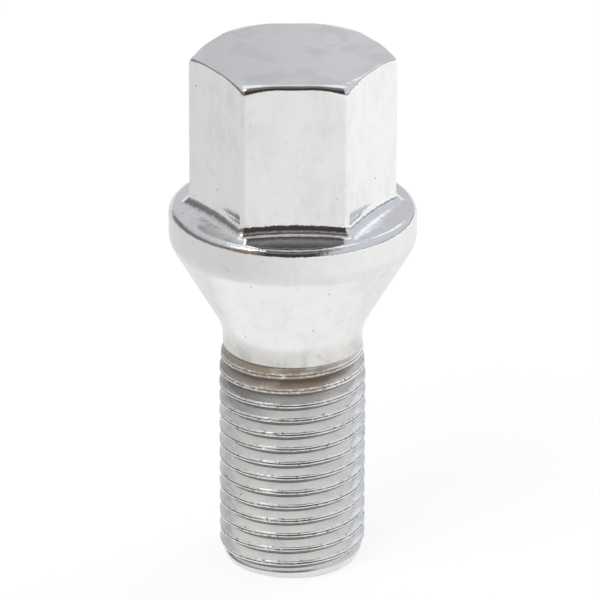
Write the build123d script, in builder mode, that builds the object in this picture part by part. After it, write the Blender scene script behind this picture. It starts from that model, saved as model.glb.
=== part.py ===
from build123d import *
from build123d.topology import SkipClean

import os
from math import ceil, cos, radians, tan

os.makedirs("parts", exist_ok=True)

# A one-piece cold-forged wheel bolt with a hexagon head, a cone seat and a rolled thread.
# It stands on its thread end with its axis on Z, and the middle of the end face is the origin.
# A flat of the hexagon faces -Y. All lengths are in millimetres, all angles in degrees.

# Thread
thread_diameter = 14.0
thread_pitch = 1.5
thread_length = 22.1         # end face to the plain neck
end_chamfer_height = 1.6
run_out_length = 3.3         # length over which the crests sink towards the neck

# Neck and seat
neck_length = 1.9            # neck to the start of the seat
neck_blend_radius = 2.0
seat_angle = 60.0            # included angle of the cone

# Flange
flange_diameter = 23.4
rim_height = 3.2
rim_lower_radius = 1.2
rim_upper_radius = 0.8
flange_slope = 15.0          # fall of the flange's top towards the rim

# Hexagon
hex_across_flats = 17.0
hex_height = 15.2            # rim's upper edge to the top of the head
hex_corner_radius = 0.65
hex_root_radius = 1.1
crown_angle = 17.0           # slope that takes the top corners down
crown_inset = 0.35           # from a flat to the level part of the top
top_edge_radius = 0.35

# Sizes that follow from those above
thread_radius = thread_diameter / 2
thread_depth = 0.57 * thread_pitch
root_flat = 0.08 * thread_pitch
root_radius = thread_radius - thread_depth
neck_radius = thread_radius - thread_pitch / 4
flange_radius = flange_diameter / 2
hex_inradius = hex_across_flats / 2
crown_flat_radius = hex_inradius - crown_inset
seat_start = thread_length + neck_length
seat_edge = seat_start + (flange_radius - neck_radius) / tan(radians(seat_angle / 2))
rim_edge = seat_edge + rim_height
total_height = rim_edge + hex_height
full_thread_end = thread_length - run_out_length

# Threaded rod before its groove is cut. The full-diameter band is laid in as twelve sectors,
# so each stretch of crest between two sector lines is a short cylinder face of its own.
sectors = 12
band_inner_radius = 0.7 * thread_radius
end_radius = thread_radius - 0.38 * end_chamfer_height
first_crest_radius = thread_radius - 0.18 * thread_pitch
buried_radius = neck_radius - 0.04 * thread_pitch
buried_top = thread_length + 0.2 * thread_pitch

with BuildPart() as band_sector:
    with BuildSketch(Plane.XZ):
        with BuildLine():
            Polyline(
                (band_inner_radius, end_chamfer_height),
                (thread_radius, end_chamfer_height),
                (thread_radius, full_thread_end),
                (band_inner_radius, full_thread_end),
                close=True,
            )
        make_face()
    revolve(axis=Axis.Z, revolution_arc=360 / sectors)

with BuildPart() as spool:
    with BuildSketch(Plane.XZ) as spool_section:
        with BuildLine():
            Polyline(
                (0, 0),
                (end_radius, 0),
                (thread_radius, end_chamfer_height),
                (band_inner_radius, end_chamfer_height),
                (band_inner_radius, full_thread_end),
                (thread_radius, full_thread_end),
                (first_crest_radius, thread_length - 0.1 * thread_pitch),
                (buried_radius, buried_top),
                (0, buried_top),
                close=True,
            )
        make_face()
        corners = spool_section.vertices()
        fillet(corners.sort_by_distance((end_radius, 0))[0], radius=0.2 * end_chamfer_height)
    revolve(axis=Axis.Z)

# One piece of the helical groove, a quarter of a turn long, centred on Z = 0 at its start
pieces_per_turn = 4
groove_mouth_radius = thread_radius + 0.07 * thread_pitch
root_half_width = root_flat / 2
mouth_half_width = root_half_width + (groove_mouth_radius - root_radius) * tan(radians(30))

with BuildPart() as groove_piece:
    with BuildLine() as groove_path:
        Helix(thread_pitch, thread_pitch / pieces_per_turn, root_radius)
    with BuildSketch(Plane.XZ):
        with BuildLine():
            Polyline(
                (root_radius, -root_half_width),
                (groove_mouth_radius, -mouth_half_width),
                (groove_mouth_radius, mouth_half_width),
                (root_radius, root_half_width),
                close=True,
            )
        make_face()
    sweep(path=groove_path.line, is_frenet=True)

# Hexagon with a rounded crown
with BuildPart() as hexagon:
    with BuildSketch(Plane.XY.offset(rim_edge)) as hexagon_section:
        RegularPolygon(hex_inradius, 6, major_radius=False)
        fillet(hexagon_section.vertices(), radius=hex_corner_radius)
    extrude(amount=hex_height)
    crown_outer_radius = 1.3 * hex_inradius
    crown_drop = (crown_outer_radius - crown_flat_radius) * tan(radians(crown_angle))
    with BuildSketch(Plane.XZ.rotated((0, 0, 30))):
        with BuildLine():
            Polyline(
                (0, rim_edge - 1),
                (crown_outer_radius, rim_edge - 1),
                (crown_outer_radius, total_height - crown_drop),
                (crown_flat_radius, total_height),
                (0, total_height),
                close=True,
            )
        make_face()
    revolve(axis=Axis.Z, mode=Mode.INTERSECT)
    top_edges = hexagon.edges().filter_by_position(
        Axis.Z, total_height - crown_drop, total_height - 0.001, inclusive=(False, False)
    )
    fillet(top_edges, radius=top_edge_radius)

# Neck, cone seat and flange, with a tapered plug that closes the groove at the neck
plug_radius = 0.75 * thread_radius
plug_height = (neck_radius - plug_radius) / tan(radians(30))
flange_top = rim_edge + flange_radius * tan(radians(flange_slope))

# The fillet round the hexagon's root has to fit on the land outside the corners, beside the rim's own
fillet_reach = tan(radians(45 - flange_slope / 2))
corner_reach = (hex_inradius - hex_corner_radius) / cos(radians(30)) + hex_corner_radius
root_land = flange_radius - rim_upper_radius * fillet_reach - corner_reach
root_fillet_radius = min(hex_root_radius, 0.9 * root_land / fillet_reach)

with BuildPart() as head:
    with BuildSketch(Plane.XZ) as head_section:
        with BuildLine():
            Polyline(
                (0, thread_length - plug_height),
                (plug_radius, thread_length - plug_height),
                (neck_radius, thread_length),
                (neck_radius, seat_start),
                (flange_radius, seat_edge),
                (flange_radius, rim_edge),
                (0, flange_top),
                close=True,
            )
        make_face()
        corners = head_section.vertices()
        fillet(corners.sort_by_distance((neck_radius, seat_start))[0], radius=neck_blend_radius)
        corners = head_section.vertices()
        fillet(corners.sort_by_distance((flange_radius, seat_edge))[0], radius=rim_lower_radius)
        corners = head_section.vertices()
        fillet(corners.sort_by_distance((flange_radius, rim_edge))[0], radius=rim_upper_radius)
    revolve(axis=Axis.Z)
    add(hexagon.part)
    root_edges = [
        edge
        for edge in head.edges()
        if rim_edge < edge.center().Z < flange_top
        and hex_inradius * 0.98 < Vector(edge.center().X, edge.center().Y, 0).length < flange_radius * 0.93
        and edge.bounding_box().size.Z < hex_height / 4
    ]
    fillet(root_edges, radius=root_fillet_radius)

# The bolt: rod with its groove cut, joined to the head. Faces are kept apart at the sector lines.
groove_start = -1.043 * thread_pitch
groove_pieces = ceil((buried_top + thread_pitch - groove_start) / thread_pitch * pieces_per_turn)
groove_places = [
    Location(
        (0, 0, groove_start + thread_pitch * piece / pieces_per_turn),
        (0, 0, 360 * piece / pieces_per_turn),
    )
    for piece in range(groove_pieces)
]
with SkipClean():
    with BuildPart() as wheel_bolt:
        add(spool.part)
        with PolarLocations(0, sectors, start_angle=11):
            add(band_sector.part)
        with Locations(*groove_places):
            add(groove_piece.part, mode=Mode.SUBTRACT)
        add(head.part)

wheel_bolt.part.label = "wheel_bolt"
export_step(wheel_bolt.part, "parts/wheel_bolt.step")
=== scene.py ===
from math import atan2, cos, hypot, pi, radians, sin, sqrt, tan

import bmesh
import bpy
from bpy.props import FloatProperty, FloatVectorProperty, PointerProperty
from mathutils import Matrix, Vector, noise


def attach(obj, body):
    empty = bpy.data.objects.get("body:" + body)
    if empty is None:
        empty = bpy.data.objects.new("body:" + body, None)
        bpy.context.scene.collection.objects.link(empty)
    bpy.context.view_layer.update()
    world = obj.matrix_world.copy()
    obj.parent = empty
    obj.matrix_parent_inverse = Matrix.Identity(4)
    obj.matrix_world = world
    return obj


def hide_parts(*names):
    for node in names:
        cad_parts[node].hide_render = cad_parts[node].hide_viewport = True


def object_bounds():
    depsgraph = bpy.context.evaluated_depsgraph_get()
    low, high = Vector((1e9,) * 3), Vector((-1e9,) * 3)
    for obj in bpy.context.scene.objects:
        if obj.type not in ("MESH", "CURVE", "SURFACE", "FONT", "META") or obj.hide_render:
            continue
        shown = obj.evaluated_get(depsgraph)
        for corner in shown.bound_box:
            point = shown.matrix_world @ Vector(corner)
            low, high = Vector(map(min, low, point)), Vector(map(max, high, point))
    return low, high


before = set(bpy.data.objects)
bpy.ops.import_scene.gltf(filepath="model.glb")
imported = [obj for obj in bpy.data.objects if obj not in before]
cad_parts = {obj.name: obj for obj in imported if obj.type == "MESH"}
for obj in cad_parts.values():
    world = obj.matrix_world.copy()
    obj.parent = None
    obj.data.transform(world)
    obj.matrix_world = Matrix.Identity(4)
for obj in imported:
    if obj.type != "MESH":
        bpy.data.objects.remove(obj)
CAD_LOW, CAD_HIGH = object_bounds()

bl_info = {
    "name": "Wheel bolt",
    "version": (1, 0, 0),
    "blender": (4, 5, 0),
    "location": "3D View > Sidebar > Wheel bolt",
    "description": "Forms a plated wheel bolt with a rolled thread and sets a plain studio round it",
    "category": "Add Mesh",
}

MM = 0.001
BODY = "root"
CAD_NODE = "wheel_bolt"
PIECE = "plated_bolt"

SECTOR = pi / 3        # one side of the hexagon
FRONT = -pi / 2        # direction of the flat that faces -Y
SPIN_CENTRE = (0, 0, 0)
SPIN_AXIS = (0, 0, 1)
HEAD_STEPS = 60        # mesh steps in a sixth of the head
THREAD_STEPS = 120     # mesh steps in a turn of the thread
SAME_POINT = 1e-4      # distance in millimetres within which two points are one
NECK_RING = 0.12       # millimetres from the thread up to the neck's lowest ring


# Sizes and finishes that a user would change

def length(name, description, millimetres):
    """A length property that is given in millimetres and kept in metres"""
    return FloatProperty(
        name=name, description=description, default=millimetres * MM, min=0.0, unit="LENGTH", precision=5
    )


def slope(name, description, in_degrees):
    """An angle property that is given in degrees"""
    return FloatProperty(name=name, description=description, default=radians(in_degrees), subtype="ANGLE")


def colour(name, description, value):
    """A colour property"""
    return FloatVectorProperty(
        name=name, description=description, default=value, size=3, min=0.0, max=1.0, subtype="COLOR"
    )


def share(name, description, value, highest=1.0):
    """A plain number from nought upwards"""
    return FloatProperty(name=name, description=description, default=value, min=0.0, max=highest)


class BoltSizes(bpy.types.PropertyGroup):
    """Sizes of the bolt"""

    height: length("Height", "Thread end to the top of the head", CAD_HIGH.z / MM)
    flange_radius: length("Flange radius", "Axis to the rim", CAD_HIGH.x / MM)
    thread_radius: length("Thread radius", "Axis to the thread's crests", 7.0)
    thread_pitch: length("Thread pitch", "Rise of the thread in one turn", 1.5)
    thread_length: length("Thread length", "Thread end to the plain neck", 22.1)
    crest_height: length("Crest at the front", "Height of the first crest's middle on the -Y side", 0.31)
    end_radius: length("End radius", "Radius of the chamfered thread end", 6.39)
    end_chamfer: length("End chamfer", "Height of the chamfer at the thread end", 1.6)
    run_out: length("Run-out", "Length over which the crests sink towards the neck", 3.3)
    neck_radius: length("Neck radius", "Radius of the plain neck", 6.625)
    neck_length: length("Neck length", "Thread to the start of the cone", 1.9)
    neck_blend: length("Neck blend", "Radius between neck and cone", 5.0)
    seat_slope: slope("Cone slope", "Angle between the cone and the axis", 30.0)
    rim_height: length("Rim height", "Cone to the rim's upper edge", 3.2)
    rim_lower_round: length("Lower rim round", "Radius between cone and rim", 2.6)
    rim_upper_round: length("Upper rim round", "Radius between rim and flange top", 0.8)
    flange_slope: slope("Flange slope", "Fall of the flange's top towards the rim", 11.5)
    flange_sag: length("Flange sag", "Dip in the middle of the flange's top", 0.022)
    hex_inradius: length("Hexagon inradius", "Axis to a flat", 8.5)
    hex_corner: length("Hexagon corner", "Radius of the upright corners", 0.65)
    hex_root: length("Hexagon root", "Radius between the flats and the flange", 1.25)
    crown_start: length("Flat top", "Radius at which the top begins to fall", 8.2)
    crown_slope: slope("Top slope", "Fall of the top towards the corners", 14.5)
    top_round: length("Top round", "Depth of the soft turn at the head's top edge", 0.62)
    top_corner_round: length("Top corner round", "Depth of the soft turn at the head's top corners", 1.3)
    edge_keenness: share("Edge keenness", "How far the soft turn reaches into its corner", 2.6, 5.0)
    front_keenness: share("Front keenness", "The same at the front, where the edge is rubbed", 0.8, 5.0)
    back_keenness: share("Back keenness", "The same at the back, where the edge is rubbed most", 0.45, 5.0)


class PlatingFinish(bpy.types.PropertyGroup):
    """Colours and gloss of the plating"""

    bright: colour("Bright plating", "Plating on the head, cone and neck", (0.90, 0.90, 0.90))
    cloud: colour("Clouded plating", "Duller patches in the bright plating", (0.82, 0.825, 0.825))
    # The haze colour is a real chalky haze and also painted shade, laid on more towards the left of the top
    haze: colour("Haze", "Chalky haze on the flat top of the head", (0.63, 0.632, 0.637))
    thread: colour("Thread plating", "Plating on the thread's flanks", (0.82, 0.825, 0.83))
    warm_thread: colour("Warm thread plating", "Yellowed patches on the thread's flanks", (0.82, 0.82, 0.795))
    # The crest colour is rubbed plating with painted highlight on the lips, and painted sparkle in the bright
    # flecks
    crest: colour("Crest plating", "Rubbed plating along the thread's crests", (0.93, 0.93, 0.93))
    # The groove colour is painted shade in the thread's roots and crest seam, and also the real grime of the
    # dark flecks, smears and crumbs
    groove: colour("Groove grime", "Grime in the thread's roots and crest seam", (0.10, 0.095, 0.09))
    grime: colour("Side grime", "Grey grime on the left of the upper turns", (0.25, 0.245, 0.245))
    stain: colour("Stain", "Brown film on the turns next to the neck", (0.19, 0.112, 0.042))
    pit: colour("Pits", "Tiny dark pits in the plating", (0.12, 0.115, 0.11))
    bright_roughness: share("Bright roughness", "Roughness of the head, cone and neck", 0.09)
    thread_roughness: share("Thread roughness", "Roughness of the thread", 0.18)
    top_chalk: share("Top chalk", "Share of the head's flat top that is chalky and not metallic", 0.26)
    thread_chalk: share("Thread chalk", "Share of the thread's plating that is chalky and not metallic", 0.1)


class StageSettings(bpy.types.PropertyGroup):
    """Camera and floor"""

    lens: FloatProperty(
        name="Lens", description="Focal length in millimetres", default=316.5, min=10.0, unit="CAMERA"
    )
    distance: length("Distance", "Camera to the point that it looks at", 500.0)
    elevation: slope("Elevation", "Height of the camera above the horizon", 23.34)
    azimuth: slope("Azimuth", "Turn of the camera round the bolt", -1.37)
    roll: slope("Roll", "Tilt of the camera", 0.17)
    aim_height: length("Aim height", "Height of the point that the camera looks at", 26.207)
    aim_side: length("Aim side", "Distance of that point to the right of the axis", 0.70)
    floor_size: length("Floor size", "Side of the floor", 3000.0)
    floor_colour: colour("Floor", "Colour of the floor", (0.93, 0.93, 0.93))


# Outline of the head, from the middle of its top down to the neck

def rounded(corner, before, after, radius, steps):
    """Points of a round where two straight runs meet at a corner"""
    corner = Vector(corner)
    towards = (Vector(before) - corner).normalized()
    away = (Vector(after) - corner).normalized()
    half = towards.angle(away) / 2
    reach = radius / tan(half)
    middle = corner + (towards + away).normalized() * (radius / sin(half))
    first = corner + towards * reach - middle
    last = corner + away * reach - middle
    start = atan2(first.y, first.x)
    sweep = (atan2(last.y, last.x) - start + pi) % (2 * pi) - pi
    points = []
    for k in range(steps + 1):
        turn = start + sweep * k / steps
        points.append((middle.x + radius * cos(turn), middle.y + radius * sin(turn)))
    return points


def run(start, end, steps, sag=0.0):
    """Points inside a straight or slightly sagging run, without its ends"""
    points = []
    for k in range(1, steps):
        t = k / steps
        dip = 4 * sag * t * (1 - t)
        points.append((start[0] + (end[0] - start[0]) * t, start[1] + (end[1] - start[1]) * t - dip))
    return points


class HeadOutline:
    """Sections of the head through the axis, in millimetres"""

    TOP_RINGS = (0.0, 1.0, 2.2, 3.6, 5.0, 6.2, 7.0)    # radii of the rings on the flat top
    TOP_STEPS = 8       # mesh steps from the last of these rings to the top edge
    EDGE_STEPS = 10     # mesh steps across the top edge
    CROWN_TURN = 0.2    # half the width of the turn from the flat top into the crown
    RUB_FOCUS = 6       # how closely the rubbing of the top edge keeps to the front and the back

    def __init__(self, sizes):
        for name in sizes.__annotations__:
            value = getattr(sizes, name)
            is_length = sizes.bl_rna.properties[name].unit == "LENGTH"
            setattr(self, name, value / MM if is_length else value)
        self.seat_start = self.thread_length + self.neck_length
        self.seat_edge = self.seat_start + (self.flange_radius - self.neck_radius) / tan(self.seat_slope)
        self.rim_edge = self.seat_edge + self.rim_height

    def crown(self, radius):
        """Height and slope of the top at a radius: flat, then a soft turn into the crown's cone"""
        turn = self.CROWN_TURN
        fall = tan(self.crown_slope)
        past = radius - (self.crown_start - turn)
        if past <= 0:
            return self.height, 0.0
        if past >= 2 * turn:
            return self.height - fall * (past - turn), fall
        return self.height - fall * past * past / (4 * turn), fall * past / (2 * turn)

    def reach(self, angle):
        """Distance from the axis to the rounded hexagon's side in a direction"""
        off_flat = abs((angle - FRONT + SECTOR / 2) % SECTOR - SECTOR / 2)
        core = self.hex_inradius - self.hex_corner
        if self.hex_inradius * tan(off_flat) <= core * tan(SECTOR / 2):
            return self.hex_inradius / cos(off_flat)
        off_corner = SECTOR / 2 - off_flat
        centre = core / cos(SECTOR / 2)
        return centre * cos(off_corner) + sqrt(self.hex_corner ** 2 - (centre * sin(off_corner)) ** 2)

    def top_edge(self, side, angle):
        """Points of the soft turn from the crown into the hexagon's side"""
        corner_reach = (self.hex_inradius - self.hex_corner) / cos(SECTOR / 2) + self.hex_corner
        share_of_corner = ((side - self.hex_inradius) / (corner_reach - self.hex_inradius)) ** 2
        depth = self.top_round + (self.top_corner_round - self.top_round) * share_of_corner
        front = max(0.0, -sin(angle)) ** self.RUB_FOCUS
        back = max(0.0, sin(angle)) ** self.RUB_FOCUS
        keen = (
            self.edge_keenness * (1 - front - back)
            + self.front_keenness * front
            + self.back_keenness * back
        )
        start = side - depth
        start_z, fall = self.crown(start)
        turn_z = start_z - fall * depth
        points = []
        for k in range(self.EDGE_STEPS + 1):
            t = k / self.EDGE_STEPS
            first, middle, last = (1 - t) ** 2, 2 * t * (1 - t) * keen, t * t
            whole = first + middle + last
            radius = (first * start + (middle + last) * side) / whole
            z = (first * start_z + middle * turn_z + last * (turn_z - depth)) / whole
            points.append((radius, z))
        return points

    def section(self, angle):
        """The outline in a direction from the axis"""
        side = self.reach(angle)
        root_corner = (side, self.rim_edge + (self.flange_radius - side) * tan(self.flange_slope))
        above_root = (side, root_corner[1] + 1)
        rim_corner = (self.flange_radius, self.rim_edge)
        seat_corner = (self.flange_radius, self.seat_edge)
        neck_corner = (self.neck_radius, self.seat_start)
        neck_end = (self.neck_radius, self.thread_length)
        top_edge = self.top_edge(side, angle)
        root = rounded(root_corner, above_root, rim_corner, self.hex_root, steps=10)
        rim_upper = rounded(rim_corner, root_corner, seat_corner, self.rim_upper_round, steps=8)
        rim_lower = rounded(seat_corner, rim_corner, neck_corner, self.rim_lower_round, steps=6)
        blend = rounded(neck_corner, seat_corner, neck_end, self.neck_blend, steps=6)

        points = [(ring, self.height) for ring in self.TOP_RINGS]
        last_ring = self.TOP_RINGS[-1]
        for k in range(1, self.TOP_STEPS):
            radius = last_ring + (top_edge[0][0] - last_ring) * k / self.TOP_STEPS
            points.append((radius, self.crown(radius)[0]))
        points += top_edge
        points += run(top_edge[-1], root[0], steps=24) + root
        points += run(root[-1], rim_upper[0], steps=8, sag=self.flange_sag) + rim_upper
        points += run(rim_upper[-1], rim_lower[0], steps=5) + rim_lower
        points += run(rim_lower[-1], blend[0], steps=20) + blend
        points += run(blend[-1], neck_end, steps=4)
        points.append((self.neck_radius, self.thread_length + NECK_RING))
        return points


FLAT_SHARE = 0.6               # share of the mesh steps that fall on the flats
CORNER_FROM = radians(27.0)    # where a corner begins, counted from the middle of a flat


def crowded(angle):
    """Moves an evenly stepped direction so that two fifths of the steps fall on the hexagon's corners"""
    past_flat = (angle - FRONT + SECTOR / 2) % SECTOR - SECTOR / 2
    flat_middle = angle - past_flat
    part = abs(past_flat) / (SECTOR / 2)
    if part < FLAT_SHARE:
        moved = CORNER_FROM * part / FLAT_SHARE
    else:
        moved = CORNER_FROM + (SECTOR / 2 - CORNER_FROM) * (part - FLAT_SHARE) / (1 - FLAT_SHARE)
    return flat_middle + (moved if past_flat > 0 else -moved)


# Outline of half a pitch of the thread: height from the crest's middle, and depth below the crest's radius

OUTLINE_PITCH = 1.5
THREAD_HALF = (
    (0.000, 0.085),
    (0.028, 0.070),
    (0.058, 0.028),
    (0.090, 0.006),
    (0.125, 0.000),
    (0.165, 0.008),
    (0.200, 0.032),
    (0.230, 0.075),
    (0.250, 0.110),
    (0.430, 0.421),
    (0.612, 0.737),
    (0.632, 0.771),
    (0.675, 0.825),
    (0.750, 0.855),
)
FLANK_SLOPE = radians(30)
RUN_OUT_SINK = 0.27       # how far the crests sink along the run-out
RUN_OUT_SHORT = 0.35      # how far before the neck they have sunk
CLOSING_SLOPE = 0.30      # fall of the last crest into the neck
HEAD_FROM_CREST = 0.5     # distance from a crest that the head, which has none, is given


def thread_outline(pitch, radius):
    """One pitch of the thread from root to root, as (radius, height)"""
    scale = pitch / OUTLINE_PITCH
    upper = [(radius - drop * scale, rise * scale) for rise, drop in THREAD_HALF]
    lower = [(r, -z) for r, z in reversed(upper[1:])]
    return lower + upper


# Rubbing on the thread's crests, in millimetres

RUB_DEPTH = 0.2                                     # how far below a crest it reaches
RUB_RADIUS, RUB_RISE = 9.0, 1.3                     # spread of its pattern round the thread and up it
NICK_SCALE, NICK_FROM, NICK_DEPTH = 1.7, 0.42, 0.16
RIPPLE_SCALE, RIPPLE_DEPTH = 0.6, 0.030
RIPPLE_PLACE = Vector((7.0, 3.0, 1.0))              # keeps the ripples' pattern apart from the nicks'
CREST_TOP = 0.02                                    # down to here, ripples are half as deep


def rubbed(radius, angle, z, crest_radius):
    """Small nicks and a wandering seam on the thread's crests"""
    depth = crest_radius - radius
    if depth > RUB_DEPTH:
        return radius
    along = Vector((cos(angle) * RUB_RADIUS, sin(angle) * RUB_RADIUS, z * RUB_RISE))
    nick = max(0.0, noise.noise(along * NICK_SCALE) - NICK_FROM) * NICK_DEPTH
    ripple = noise.noise(along * RIPPLE_SCALE + RIPPLE_PLACE) * RIPPLE_DEPTH
    return radius - nick - ripple * (1.0 if depth > CREST_TOP else 0.5)


# Mesh

def new_shell():
    """An empty bmesh with the layers that head and thread both carry"""
    bm = bmesh.new()
    bm.verts.layers.int.new("station")
    bm.verts.layers.float.new("crest_distance")
    return bm


def spin_outline(bm, points, start, angle, steps, rise=0.0):
    """Turns an outline round the axis through an angle, rising on the way, and numbers its stations"""
    station = bm.verts.layers.int["station"]
    verts = [bm.verts.new((radius * cos(start), radius * sin(start), z)) for radius, z in points]
    for number, vert in enumerate(verts):
        vert[station] = number
    edges = [bm.edges.new(pair) for pair in zip(verts, verts[1:])]
    bmesh.ops.spin(
        bm,
        geom=verts + edges,
        cent=SPIN_CENTRE,
        axis=SPIN_AXIS,
        dvec=(0, 0, rise / steps),
        angle=angle,
        steps=steps,
    )


def repeat(bm, angle, copies, rise=0.0):
    """Lays copies of all that is there round the axis, each turned and raised past the last"""
    bmesh.ops.spin(
        bm,
        geom=bm.verts[:] + bm.edges[:] + bm.faces[:],
        cent=SPIN_CENTRE,
        axis=SPIN_AXIS,
        dvec=(0, 0, rise),
        angle=angle * copies,
        steps=copies,
        use_duplicate=True,
    )


def open_loop(bm, height):
    """Boundary edges that lie at a height"""
    return [
        edge for edge in bm.edges
        if edge.is_boundary and all(abs(vert.co.z - height) < SAME_POINT for vert in edge.verts)
    ]


def smooth_all(faces):
    """Shades faces smooth"""
    for face in faces:
        face.smooth = True


def form_head(bm, outline):
    """Turns a sixth of the head, repeats it, and draws its upper part out to the hexagon's side"""
    spin_outline(bm, outline.section(FRONT), FRONT - SECTOR / 2, SECTOR, HEAD_STEPS)
    repeat(bm, SECTOR, copies=5)
    bmesh.ops.remove_doubles(bm, verts=bm.verts, dist=SAME_POINT)
    station = bm.verts.layers.int["station"]
    crest_distance = bm.verts.layers.float["crest_distance"]
    sections = {}
    for vert in bm.verts:
        on_axis = hypot(vert.co.x, vert.co.y) < SAME_POINT
        angle = FRONT if on_axis else crowded(atan2(vert.co.y, vert.co.x))
        key = round(angle, 4)
        if key not in sections:
            sections[key] = outline.section(angle)
        radius, z = sections[key][vert[station]]
        vert.co = (radius * cos(angle), radius * sin(angle), z)
        vert[crest_distance] = HEAD_FROM_CREST
    smooth_all(bm.faces)


def form_thread(bm, outline):
    """Winds the rolled thread, then trims it to the end chamfer, the run-out and the neck"""
    pitch = outline.thread_pitch
    crest_distance = bm.verts.layers.float["crest_distance"]
    station = bm.verts.layers.int["station"]
    points = thread_outline(pitch, outline.thread_radius)
    # The winding starts at +X, and the front is three quarters of a turn on from there
    first_crest = outline.crest_height - 0.75 * pitch
    section = [(radius, z + first_crest) for radius, z in points]
    turns = int((outline.thread_length - first_crest) / pitch) + 2
    spin_outline(bm, section, 0.0, 2 * pi, THREAD_STEPS, pitch)
    repeat(bm, 2 * pi, turns - 1, pitch)
    full_end = outline.thread_length - outline.run_out
    for vert in bm.verts:
        angle = atan2(vert.co.y, vert.co.x)
        z = vert.co.z
        to_neck = outline.thread_length - z
        vert[crest_distance] = abs(points[vert[station]][1])
        radius = rubbed(hypot(vert.co.x, vert.co.y), angle, z, outline.thread_radius)
        chamfer = outline.end_radius + (outline.thread_radius - outline.end_radius) * z / outline.end_chamfer
        past_full = max(0.0, z - full_end) / (outline.run_out - RUN_OUT_SHORT)
        sink = outline.thread_radius - RUN_OUT_SINK * past_full
        closing = outline.neck_radius + max(0.0, to_neck) * CLOSING_SLOPE
        plug = outline.neck_radius - to_neck * tan(FLANK_SLOPE)
        radius = max(min(radius, chamfer, sink, closing), plug)
        vert.co = (radius * cos(angle), radius * sin(angle), z)
    bmesh.ops.remove_doubles(bm, verts=bm.verts, dist=SAME_POINT)
    for height, keep_above in ((0.0, True), (outline.thread_length, False)):
        bmesh.ops.bisect_plane(
            bm,
            geom=bm.verts[:] + bm.edges[:] + bm.faces[:],
            dist=SAME_POINT / 10,
            plane_co=(0, 0, height),
            plane_no=(0, 0, 1),
            clear_inner=keep_above,
            clear_outer=not keep_above,
        )
    smooth_all(bm.faces)
    end = bmesh.ops.contextual_create(bm, geom=open_loop(bm, 0.0))
    for face in end["faces"]:
        face.smooth = False


def join_shells(bm, shell):
    """Adds another bmesh's geometry to this one"""
    carrier = bpy.data.meshes.new("carrier")
    shell.to_mesh(carrier)
    shell.free()
    bm.from_mesh(carrier)
    bpy.data.meshes.remove(carrier)


def bolt_mesh(outline):
    """The whole bolt as one closed mesh, in metres"""
    bm = new_shell()
    form_head(bm, outline)
    thread = new_shell()
    form_thread(thread, outline)
    join_shells(bm, thread)
    neck_loop = open_loop(bm, outline.thread_length + NECK_RING)
    thread_loop = open_loop(bm, outline.thread_length)
    bridge = bmesh.ops.bridge_loops(bm, edges=neck_loop + thread_loop)
    smooth_all(bridge["faces"])
    if any(edge.is_boundary for edge in bm.edges):
        raise RuntimeError("The bolt's mesh has open edges")
    bmesh.ops.recalc_face_normals(bm, faces=bm.faces)
    bmesh.ops.scale(bm, vec=(MM, MM, MM), verts=bm.verts)
    mesh = bpy.data.meshes.new(PIECE)
    bm.to_mesh(mesh)
    bm.free()
    mesh.attributes.remove(mesh.attributes["station"])
    return mesh


# Finish

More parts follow.
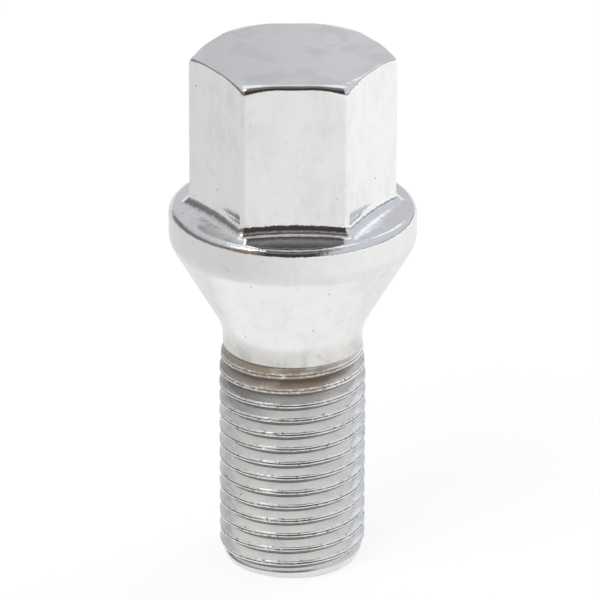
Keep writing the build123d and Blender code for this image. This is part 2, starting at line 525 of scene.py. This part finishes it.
class Nodes:
    """A short way to build a node tree. Values may be plain numbers, colours or the outputs of nodes."""

    def __init__(self, tree):
        self.tree = tree
        tree.nodes.clear()

    def put(self, socket, value):
        """Links an output to a socket, or sets the socket's own value"""
        if isinstance(value, bpy.types.NodeSocket):
            self.tree.links.new(value, socket)
        elif socket.type == "RGBA":
            socket.default_value = (*value, 1.0)
        else:
            socket.default_value = value

    def add(self, kind, settings=None, **inputs):
        """A node with its settings and inputs; an input goes by its name, with _ for a space, or by i0, i1"""
        node = self.tree.nodes.new(kind)
        for name, value in (settings or {}).items():
            setattr(node, name, value)
        for name, value in inputs.items():
            by_number = name[0] == "i" and name[1:].isdigit()
            self.put(node.inputs[int(name[1:]) if by_number else name.replace("_", " ")], value)
        return node

    def math(self, operation, first, second=0.0, clamp=False):
        """One step of arithmetic"""
        node = self.add("ShaderNodeMath", {"operation": operation, "use_clamp": clamp}, i0=first, i1=second)
        return node.outputs[0]

    def times(self, first, *others):
        """A product"""
        for other in others:
            first = self.math("MULTIPLY", first, other)
        return first

    def plus(self, first, *others):
        """A sum"""
        for other in others:
            first = self.math("ADD", first, other)
        return first

    def ramp(self, value, low, high, to_low=0.0, to_high=1.0):
        """A soft step from to_low, where the value is low, to to_high, where it is high"""
        node = self.add(
            "ShaderNodeMapRange",
            {"interpolation_type": "SMOOTHSTEP"},
            Value=value, From_Min=low, From_Max=high, To_Min=to_low, To_Max=to_high,
        )
        return node.outputs["Result"]

    def near(self, value, middle, inner, outer, most=1.0):
        """The most within the inner distance of a middle value, and nought past the outer one"""
        off = self.math("ABSOLUTE", self.math("SUBTRACT", value, middle))
        return self.ramp(off, inner, outer, most, 0.0)

    def mix(self, factor, first, second):
        """From a first colour to a second one"""
        return self.add("ShaderNodeMix", {"data_type": "RGBA"}, i0=factor, i6=first, i7=second).outputs[2]

    def mix_number(self, factor, first, second):
        """From a first number to a second one"""
        return self.add("ShaderNodeMix", {"data_type": "FLOAT"}, i0=factor, i2=first, i3=second).outputs[0]

    def towards(self, vector, way):
        """How nearly a direction points a given way"""
        node = self.add(
            "ShaderNodeVectorMath", {"operation": "DOT_PRODUCT"}, i0=vector, i1=Vector(way).normalized()
        )
        return node.outputs["Value"]

    def stops(self, value, colours):
        """A colour ramp with a stop at each given position"""
        node = self.add("ShaderNodeValToRGB", None, Fac=value)
        ramp = node.color_ramp
        while len(ramp.elements) < len(colours):
            ramp.elements.new(0.5)
        for element, (position, rgb) in zip(ramp.elements, colours):
            element.position = position
            element.color = (*rgb, 1.0)
        return node.outputs["Color"]

    def stretched(self, vector, scale):
        """Coordinates scaled along each axis"""
        return self.add("ShaderNodeMapping", None, Vector=vector, Scale=scale).outputs["Vector"]

    def pattern(self, vector, recipe):
        """Noise to a recipe"""
        stretch, scale, detail, roughness, distortion = recipe
        node = self.add(
            "ShaderNodeTexNoise", None,
            Vector=self.stretched(vector, stretch),
            Scale=scale, Detail=detail, Roughness=roughness, Distortion=distortion,
        )
        return node.outputs["Fac"]


# Recipes of the patterns in the plating: stretch along X, Y and Z, scale per millimetre, detail, roughness
# and distortion

CLOUDS = ((1.0, 1.0, 1.0), 0.20, 4.0, 0.55, 0.5)
MOTTLE = ((1.0, 1.0, 0.7), 0.75, 4.0, 0.60, 0.4)
STREAKS = ((0.8, 0.8, 0.3), 0.80, 2.0, 0.50, 0.0)
SMEARS = ((1.0, 1.0, 0.6), 0.45, 5.0, 0.60, 1.2)
CRUMBS = ((1.0, 1.0, 1.0), 2.30, 3.0, 0.65, 0.0)
PATCHES = ((1.0, 1.0, 1.5), 0.42, 3.0, 0.55, 0.0)
YELLOWING = ((1.0, 1.0, 0.8), 0.33, 3.0, 0.60, 0.0)
BLOTCHES = ((1.0, 1.0, 1.6), 0.47, 4.0, 0.60, 0.0)
CHIPS = ((1.0, 1.0, 1.8), 2.30, 3.0, 0.65, 0.0)
PIT_FIELDS = ((1.0, 1.0, 1.0), 0.31, 1.0, 0.50, 0.0)
WAVES = ((1.0, 1.0, 1.0), 0.30, 2.0, 0.40, 0.0)
PEEL = ((1.0, 1.0, 1.0), 1.50, 3.0, 0.55, 0.0)
PIT_SCALE = 0.60

# Distances from a crest's middle, in millimetres, over which the parts of the thread begin or end

SEAM_END = (0.03, 0.075)
LIP_START = (0.06, 0.10)
LIP_END = (0.20, 0.26)
CREST_END = (0.22, 0.32)
ROOT_START = (0.64, 0.70)

# Depths of the fine unevenness, in millimetres

WAVE_DEPTH = 0.025
PEEL_DEPTH = 0.005
ROOT_AND_RIM_PEEL = 0.030
TOP_EDGE_PEEL = 0.010
THREAD_PEEL = 0.016
SEAT_EDGE_MOTTLE = 0.040
CHIP_DEPTH = 0.020


class Plating:
    """The plating's node tree, with the patterns and places that its parts share, in millimetres

    A ramp is given its two heights, distances or levels of a pattern, and then the shares at both.
    """

    def __init__(self, tree, finish, outline):
        n = self.n = Nodes(tree)
        self.finish = finish
        self.outline = outline
        where = n.add("ShaderNodeTexCoord").outputs["Object"]
        self.mm = n.stretched(where, (1 / MM, 1 / MM, 1 / MM))
        self.x, self.y, self.z = n.add("ShaderNodeSeparateXYZ", None, Vector=self.mm).outputs
        self.crest = n.add("ShaderNodeAttribute", {"attribute_name": "crest_distance"}).outputs["Fac"]
        self.clouds = n.pattern(self.mm, CLOUDS)
        self.mottle = n.pattern(self.mm, MOTTLE)
        self.patches = n.pattern(self.mm, PATCHES)
        self.chips = n.pattern(self.mm, CHIPS)
        self.on_thread = self.from_neck(-0.06, 0.06, 1.0, 0.0)
        self.on_top = self.from_top(-0.12, -0.02)
        past_flats = outline.flange_radius - outline.hex_inradius
        root_height = outline.rim_edge + past_flats * tan(outline.flange_slope)
        self.near_root = n.near(self.z, root_height + 0.3, 0.5, 0.9)
        # The end's chamfer has no rubbed crests
        self.past_end = n.ramp(self.z, outline.end_chamfer / 2, outline.end_chamfer)
        self.on_crest = n.times(n.ramp(self.crest, *CREST_END, 1.0, 0.0), self.past_end)
        self.stained = self.stain()
        self.film = n.times(self.stained, self.on_thread, 0.75)

    def from_neck(self, low, high, to_low=0.0, to_high=1.0):
        """A ramp between two heights that are counted from the thread's upper end"""
        neck = self.outline.thread_length
        return self.n.ramp(self.z, neck + low, neck + high, to_low, to_high)

    def from_top(self, low, high, to_low=0.0, to_high=1.0):
        """A ramp between two heights that are counted from the top of the head"""
        top = self.outline.height
        return self.n.ramp(self.z, top + low, top + high, to_low, to_high)

    def stain(self):
        """Share of the brown stain, most at the front and furthest to the right on the first turn"""
        n = self.n
        to_front = n.plus(n.times(self.x, -0.30), n.times(self.y, -0.95))
        right_end = self.from_neck(-2.3, -1.3, 1.5, 4.0)
        return n.times(
            n.ramp(to_front, -2.0, 6.5, 0.40, 1.0),
            n.ramp(n.math("SUBTRACT", self.x, right_end), -0.5, 2.5, 1.0, 0.45),
            self.from_neck(-4.1, -1.6),
            self.from_neck(-1.1, -0.4, 1.0, 0.95),
            n.ramp(n.pattern(self.mm, BLOTCHES), 0.24, 0.52, 0.45, 1.0),
        )

    def side_grime(self):
        """Share of the grey grime on the left of the upper turns"""
        n = self.n
        return n.times(
            n.ramp(self.x, -6.8, -1.0, 0.82, 0.08),
            self.from_neck(-7.2, -3.0),
            self.from_neck(-1.6, -0.6, 1.0, 0.55),
            n.ramp(self.patches, 0.35, 0.60, 0.75, 1.0),
        )

    def bright(self):
        """Colour of the head, cone and neck"""
        n, finish, outline = self.n, self.finish, self.outline

        # Soft clouds, streaks and mottling, a duller rim and neck, and a chalky haze on the flat top, with
        # painted shade that darkens the top more towards the left
        haze = n.plus(n.ramp(self.x, -9.0, 7.0, 0.45, 0.0), n.ramp(self.clouds, 0.48, 0.62, 0.0, 0.35))
        streaks = n.ramp(n.pattern(self.mm, STREAKS), 0.38, 0.68, 0.0, 0.8)
        dull = n.plus(
            n.times(n.ramp(self.clouds, 0.35, 0.70), streaks),
            n.ramp(self.mottle, 0.50, 0.68, 0.0, 0.55),
            n.near(self.z, outline.rim_edge - outline.rim_height / 2, 1.2, 2.2, 0.65),
            self.from_neck(0.2, 2.2, 0.85, 0.0),
            n.times(haze, self.on_top),
        )
        base = n.mix(n.math("MINIMUM", dull, 1.0), finish.bright, finish.cloud)
        # Painted shade: the haze on the top grows towards the left
        hazed_and_shaded = n.times(self.on_top, n.plus(n.times(haze, 0.75), 0.48))
        base = n.mix(hazed_and_shaded, base, finish.haze)

        # Smudged neck, faint smears all over, and grime that polishing misses in the root of the flats
        smudge = n.times(self.from_neck(0.3, 2.4, 1.0, 0.0), n.ramp(self.mottle, 0.40, 0.65, 0.07, 0.27))
        base = n.mix(smudge, base, finish.stain)
        smears = n.ramp(n.pattern(self.mm, SMEARS), 0.60, 0.74, 0.0, 0.11)
        base = n.mix(smears, base, finish.groove)
        crumbs = n.ramp(n.pattern(self.mm, CRUMBS), 0.57, 0.66, 0.0, 0.22)
        return n.mix(n.times(self.near_root, crumbs), base, finish.groove)

    def thread(self):
        """Colour of the thread"""
        n, finish = self.n, self.finish

        # Patchy flanks with yellowed places, the stain and the grime
        duller = [c * 0.93 for c in finish.thread]
        base = n.mix(n.ramp(self.patches, 0.40, 0.60), duller, finish.thread)
        yellowed = n.ramp(n.pattern(self.mm, YELLOWING), 0.45, 0.62, 0.0, 0.8)
        base = n.mix(yellowed, base, finish.warm_thread)
        base = n.mix(n.times(self.stained, 0.90), base, finish.stain)
        base = n.mix(self.side_grime(), base, finish.grime)

        # Bright lips along the crests, painted highlight over rubbed plating, with a dark seam between them
        # and dark roots, both painted shade
        lip = n.times(
            n.ramp(self.crest, *LIP_START),
            n.ramp(self.crest, *LIP_END, 1.0, 0.0),
            n.ramp(self.stained, 0.0, 0.8, 1.0, 0.2),
            self.past_end,
        )
        base = n.mix(lip, base, finish.crest)
        # Painted shade: the crest seam and the roots are darkened with the groove colour
        seam = n.times(n.ramp(self.crest, *SEAM_END, 0.85, 0.0), self.past_end)
        root = n.ramp(self.crest, *ROOT_START, 0.0, 0.7)
        base = n.mix(n.math("ADD", seam, root, clamp=True), base, finish.groove)

        # Dark flecks on the crests, and bright flecks that are painted sparkle on their nicks
        dark = n.times(self.on_crest, n.ramp(self.chips, 0.57, 0.66, 0.0, 0.75))
        base = n.mix(dark, base, finish.groove)
        light = n.times(
            self.on_crest,
            n.ramp(self.chips, 0.36, 0.43, 0.95, 0.0),
            n.ramp(self.stained, 0.0, 0.8, 1.0, 0.6),
        )
        return n.mix(light, base, finish.crest)

    def pits(self):
        """Share of the tiny pits, in scattered fields"""
        n = self.n
        cells = n.add(
            "ShaderNodeTexVoronoi", {"feature": "F1"}, Vector=self.mm, Scale=PIT_SCALE, Randomness=1.0
        )
        return n.times(
            n.ramp(cells.outputs["Distance"], 0.035, 0.065, 1.0, 0.0),
            n.ramp(n.pattern(self.mm, PIT_FIELDS), 0.46, 0.52),
        )

    def base_colour(self):
        """Colour of the whole bolt"""
        base = self.n.mix(self.on_thread, self.bright(), self.thread())
        return self.n.mix(self.pits(), base, self.finish.pit)

    def metallic(self):
        """Share of bare metal, less where the plating is chalky or stained"""
        n, finish = self.n, self.finish
        chalk = n.plus(
            n.times(self.on_thread, finish.thread_chalk), self.film, n.times(self.on_top, finish.top_chalk)
        )
        return n.math("SUBTRACT", 1.0, chalk)

    def roughness(self):
        """Gloss of the whole bolt, duller in the clouds, on the thread and in the stain"""
        n = self.n
        bright = self.finish.bright_roughness
        thread = self.finish.thread_roughness
        clean = n.mix_number(
            self.on_thread,
            n.ramp(self.clouds, 0.35, 0.75, bright * 0.8, bright * 1.6),
            n.ramp(self.patches, 0.3, 0.7, thread * 0.85, thread * 1.2),
        )
        return n.plus(clean, n.times(self.film, 0.3))

    def relief(self):
        """Height of the fine unevenness: waves and peel all over, more of it on edges and on the thread"""
        n, outline = self.n, self.outline
        peel = n.pattern(self.mm, PEEL)
        near_rim = n.near(self.z, outline.rim_edge - 0.25, 0.35, 0.65)
        near_top = n.times(self.from_top(-0.08, -0.03, 1.0, 0.0), self.from_top(-1.8, -1.2))
        peel_depth = n.plus(
            n.times(n.math("MAXIMUM", self.near_root, near_rim), ROOT_AND_RIM_PEEL),
            n.times(near_top, TOP_EDGE_PEEL),
            PEEL_DEPTH,
        )
        return n.plus(
            n.times(n.pattern(self.mm, WAVES), WAVE_DEPTH),
            n.times(peel, peel_depth),
            n.times(self.mottle, n.near(self.z, outline.seat_edge, 0.6, 1.4), SEAT_EDGE_MOTTLE),
            n.times(self.chips, self.on_crest, CHIP_DEPTH),
            n.times(peel, self.on_thread, THREAD_PEEL),
        )


def plated_steel(finish, outline):
    """Bright plating with clouds, chalky haze, pits and grime, a duller thread and a brown stain next to the
    neck; painted shade on the top's left and in the thread's roots and seam, and painted highlight on the
    crests
    """
    material = bpy.data.materials.new("plated_steel")
    material.use_nodes = True
    plating = Plating(material.node_tree, finish, outline)
    n = plating.n
    bump = n.add("ShaderNodeBump", None, Strength=1.0, Distance=MM, Height=plating.relief())
    shader = n.add(
        "ShaderNodeBsdfPrincipled", None,
        Base_Color=plating.base_colour(),
        Metallic=plating.metallic(),
        Roughness=plating.roughness(),
        Normal=bump.outputs["Normal"],
    )
    n.add("ShaderNodeOutputMaterial", None, Surface=shader.outputs[0])
    return material


class WHEELBOLT_OT_form_bolt(bpy.types.Operator):
    """Form the forged bolt with its hexagon, cone and rolled thread, and plate it"""

    bl_idname = "wheel_bolt.form_bolt"
    bl_label = "Form bolt"

    def execute(self, context):
        outline = HeadOutline(context.scene.bolt_sizes)
        mesh = bolt_mesh(outline)
        mesh.materials.append(plated_steel(context.scene.plating_finish, outline))
        bolt = bpy.data.objects.new(PIECE, mesh)
        context.scene.collection.objects.link(bolt)
        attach(bolt, BODY)
        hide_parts(CAD_NODE)
        return {"FINISHED"}


# Stage, in metres

WHITE = (1.0, 1.0, 1.0)
FLOOR_SEEN_WHITE = 0.78              # share of plain white in the floor that the camera sees
FLOOR_MIRRORED = 0.9                 # share of plain light in the floor that the plating mirrors
MIRRORED_FLOOR = (1.0, 0.998, 0.985)
FLOOR_FADE = (-0.10, 0.13)           # the mirrored floor brightens from left to right between these
FLOOR_LEVELS = (0.69, 1.0)
FLOOR_NEAR = (0.020, 0.060)          # round the bolt it is at least this bright
FLOOR_NEAR_LEVEL = 0.92


def floor_material(tint):
    """Pale floor that keeps the bolt's shadow and looks white; in the plating it shades off to the left"""
    material = bpy.data.materials.new("pale_floor")
    material.use_nodes = True
    n = Nodes(material.node_tree)
    where = n.add("ShaderNodeTexCoord").outputs["Object"]
    across = n.add("ShaderNodeSeparateXYZ", None, Vector=where).outputs[0]
    spread = n.add("ShaderNodeVectorMath", {"operation": "LENGTH"}, i0=where).outputs["Value"]
    level = n.math(
        "MAXIMUM",
        n.ramp(across, *FLOOR_FADE, *FLOOR_LEVELS),
        n.ramp(spread, *FLOOR_NEAR, FLOOR_NEAR_LEVEL, 0.0),
    )
    matt = n.add("ShaderNodeBsdfDiffuse", None, Color=tint)
    white = n.add("ShaderNodeEmission", None, Color=WHITE, Strength=1.0)
    mirrored = n.add("ShaderNodeEmission", None, Color=MIRRORED_FLOOR, Strength=level)
    rays = n.add("ShaderNodeLightPath").outputs
    seen = n.times(rays["Is Camera Ray"], FLOOR_SEEN_WHITE)
    both = n.add("ShaderNodeMixShader", None, i0=seen, i1=matt.outputs[0], i2=white.outputs[0])
    in_metal = n.times(rays["Is Glossy Ray"], FLOOR_MIRRORED)
    both = n.add("ShaderNodeMixShader", None, i0=in_metal, i1=both.outputs[0], i2=mirrored.outputs[0])
    n.add("ShaderNodeOutputMaterial", None, Surface=both.outputs[0])
    return material


# The room that the plating mirrors: its colours by the sine of the elevation, and the directions in which
# one side turns into the next

FRONT_OF_ROOM = (
    (0.00, (0.80, 0.80, 0.80)),
    (0.02, (0.45, 0.42, 0.41)),
    (0.04, (0.052, 0.034, 0.034)),
    (0.30, (0.066, 0.048, 0.047)),
    (0.50, (0.048, 0.034, 0.034)),
    (0.61, (0.050, 0.040, 0.040)),
    (0.67, (0.095, 0.10, 0.10)),
    (0.725, (0.135, 0.135, 0.135)),
    (0.80, (0.29, 0.29, 0.29)),
    (0.90, (0.07, 0.063, 0.06)),
    (0.96, (0.07, 0.063, 0.06)),
    (1.00, (0.58, 0.58, 0.58)),
)
BACK_OF_ROOM = (
    (0.00, (0.95, 0.95, 0.95)),
    (0.06, (0.95, 0.95, 0.95)),
    (0.16, (0.60, 0.603, 0.632)),
    (0.82, (0.60, 0.603, 0.632)),
    (0.86, (1.00, 1.00, 1.00)),
    (0.95, (1.00, 1.00, 1.00)),
    (0.985, (0.55, 0.55, 0.55)),
    (1.00, (0.55, 0.55, 0.55)),
)
LEFT_OF_ROOM = (
    (0.00, (0.70, 0.70, 0.70)),
    (0.04, (0.34, 0.34, 0.34)),
    (0.14, (0.26, 0.26, 0.26)),
    (0.24, (0.19, 0.19, 0.19)),
    (0.43, (0.18, 0.18, 0.18)),
    (0.52, (0.40, 0.40, 0.41)),
    (0.70, (0.60, 0.60, 0.61)),
    (1.00, (0.62, 0.62, 0.63)),
)
RIGHT_OF_ROOM = (
    (0.00, (0.90, 0.90, 0.90)),
    (0.03, (0.30, 0.30, 0.31)),
    (0.09, (0.30, 0.30, 0.31)),
    (0.14, (0.64, 0.67, 0.73)),
    (0.24, (0.64, 0.67, 0.73)),
    (0.40, (0.62, 0.65, 0.71)),
    (0.56, (0.66, 0.69, 0.75)),
    (1.00, (0.62, 0.62, 0.63)),
)
BACK_FROM = (-0.35, 0.25)
LEFT_UNTIL = (-0.65, -0.35)
RIGHT_FROM = (0.30, 0.60)

# Single patches of the room: direction, soft edge and colour

WARM_PATCH = ((-0.70, -0.60, 0.38), (0.95, 0.99), (0.32, 0.17, 0.10))
RIGHT_WINDOW = ((0.39, 0.66, 0.64), (0.978, 0.994), (1.02, 1.04, 1.10))
FILL_LIGHT = (0.75, 0.75, 0.75)


def studio_world():
    """White for the camera; the plating sees a dark front, a grey back, a dim left and a pale right"""
    world = bpy.data.worlds.new("studio")
    world.use_nodes = True
    n = Nodes(world.node_tree)
    way = n.add("ShaderNodeTexCoord").outputs["Generated"]
    x, y, z = n.add("ShaderNodeSeparateXYZ", None, Vector=way).outputs
    room = n.mix(n.ramp(y, *BACK_FROM), n.stops(z, FRONT_OF_ROOM), n.stops(z, BACK_OF_ROOM))
    room = n.mix(n.ramp(x, *LEFT_UNTIL, 1.0, 0.0), room, n.stops(z, LEFT_OF_ROOM))
    room = n.mix(n.ramp(x, *RIGHT_FROM), room, n.stops(z, RIGHT_OF_ROOM))
    for direction, edge, tint in (WARM_PATCH, RIGHT_WINDOW):
        room = n.mix(n.ramp(n.towards(way, direction), *edge), room, tint)
    rays = n.add("ShaderNodeLightPath").outputs
    lit = n.mix(rays["Is Glossy Ray"], FILL_LIGHT, room)
    seen = n.mix(rays["Is Camera Ray"], lit, WHITE)
    sky = n.add("ShaderNodeBackground", None, Color=seen, Strength=1.0)
    n.add("ShaderNodeOutputWorld", None, Surface=sky.outputs[0])
    return world


# Lamps: name, place, size, power in watts, and whether the plating mirrors them

LAMPS = (
    ("front_left_glint", (-0.37, -0.19, 0.69), 0.23, 0.45, True),
    ("front_left_lamp", (-0.40, -0.45, 0.60), 0.50, 2.4, False),
    ("back_right_lamp", (0.55, 0.45, 0.50), 0.50, 2.2, False),
)
LAMP_AIM = Vector((0, 0, 0.03))
SENSOR_WIDTH = 36.0
CLIP_START, CLIP_END = 0.01, 20.0


def lay_floor(scene, stage):
    """A large pale floor under the bolt"""
    bm = bmesh.new()
    bmesh.ops.create_grid(bm, x_segments=2, y_segments=2, size=stage.floor_size / 2)
    mesh = bpy.data.meshes.new("floor")
    bm.to_mesh(mesh)
    bm.free()
    mesh.materials.append(floor_material(stage.floor_colour))
    floor = bpy.data.objects.new("floor", mesh)
    scene.collection.objects.link(floor)


def hang_lamp(scene, name, place, size, power, mirrored):
    """A square lamp that faces the bolt, and that the plating mirrors or not"""
    lamp = bpy.data.lights.new(name, "AREA")
    lamp.shape = "SQUARE"
    lamp.size = size
    lamp.energy = power
    holder = bpy.data.objects.new(name, lamp)
    scene.collection.objects.link(holder)
    holder.location = place
    holder.rotation_euler = (LAMP_AIM - Vector(place)).to_track_quat("-Z", "Y").to_euler()
    holder.visible_camera = False
    holder.visible_glossy = mirrored


def place_camera(scene, stage):
    """The camera at the photograph's angle"""
    back = Vector((
        sin(stage.azimuth) * cos(stage.elevation),
        -cos(stage.azimuth) * cos(stage.elevation),
        sin(stage.elevation),
    ))
    right = Vector((cos(stage.azimuth), sin(stage.azimuth), 0.0))
    aim = Vector((0, 0, stage.aim_height)) + right * stage.aim_side
    lens = bpy.data.cameras.new("camera")
    lens.lens = stage.lens
    lens.sensor_width = SENSOR_WIDTH
    lens.clip_start = CLIP_START
    lens.clip_end = CLIP_END
    camera = bpy.data.objects.new("camera", lens)
    scene.collection.objects.link(camera)
    camera.location = aim + back * stage.distance
    turn = (-back).to_track_quat("-Z", "Y").to_matrix() @ Matrix.Rotation(stage.roll, 3, "Z")
    camera.rotation_euler = turn.to_euler()
    scene.camera = camera


class WHEELBOLT_OT_set_stage(bpy.types.Operator):
    """Set the pale floor, the soft lamps, the world and the camera"""

    bl_idname = "wheel_bolt.set_stage"
    bl_label = "Set stage"

    def execute(self, context):
        scene = context.scene
        stage = scene.bolt_stage
        lay_floor(scene, stage)
        scene.world = studio_world()
        for lamp in LAMPS:
            hang_lamp(scene, *lamp)
        place_camera(scene, stage)
        scene.view_settings.view_transform = "Standard"
        return {"FINISHED"}


class WHEELBOLT_PT_sidebar(bpy.types.Panel):
    """Lists the steps that make the bolt and its stage, and their settings"""

    bl_idname = "WHEELBOLT_PT_sidebar"
    bl_label = "Wheel bolt"
    bl_space_type = "VIEW_3D"
    bl_region_type = "UI"
    bl_category = "Wheel bolt"

    def draw(self, context):
        for step in STEPS:
            self.layout.operator(step.bl_idname)
        for group in GROUPS:
            settings = getattr(context.scene, group)
            for name in settings.__annotations__:
                self.layout.prop(settings, name)


STEPS = (WHEELBOLT_OT_form_bolt, WHEELBOLT_OT_set_stage)
GROUPS = {"bolt_sizes": BoltSizes, "plating_finish": PlatingFinish, "bolt_stage": StageSettings}
CLASSES = (*GROUPS.values(), *STEPS, WHEELBOLT_PT_sidebar)


def register():
    """Adds the classes, and the settings to every scene"""
    for each in CLASSES:
        bpy.utils.register_class(each)
    for name, group in GROUPS.items():
        setattr(bpy.types.Scene, name, PointerProperty(type=group))


def unregister():
    """Takes the settings and the classes away again"""
    for name in GROUPS:
        delattr(bpy.types.Scene, name)
    for each in reversed(CLASSES):
        bpy.utils.unregister_class(each)


def main():
    """Makes the bolt and its stage"""
    register()
    bpy.ops.wheel_bolt.form_bolt()
    bpy.ops.wheel_bolt.set_stage()


if __name__ == "__main__":
    main()
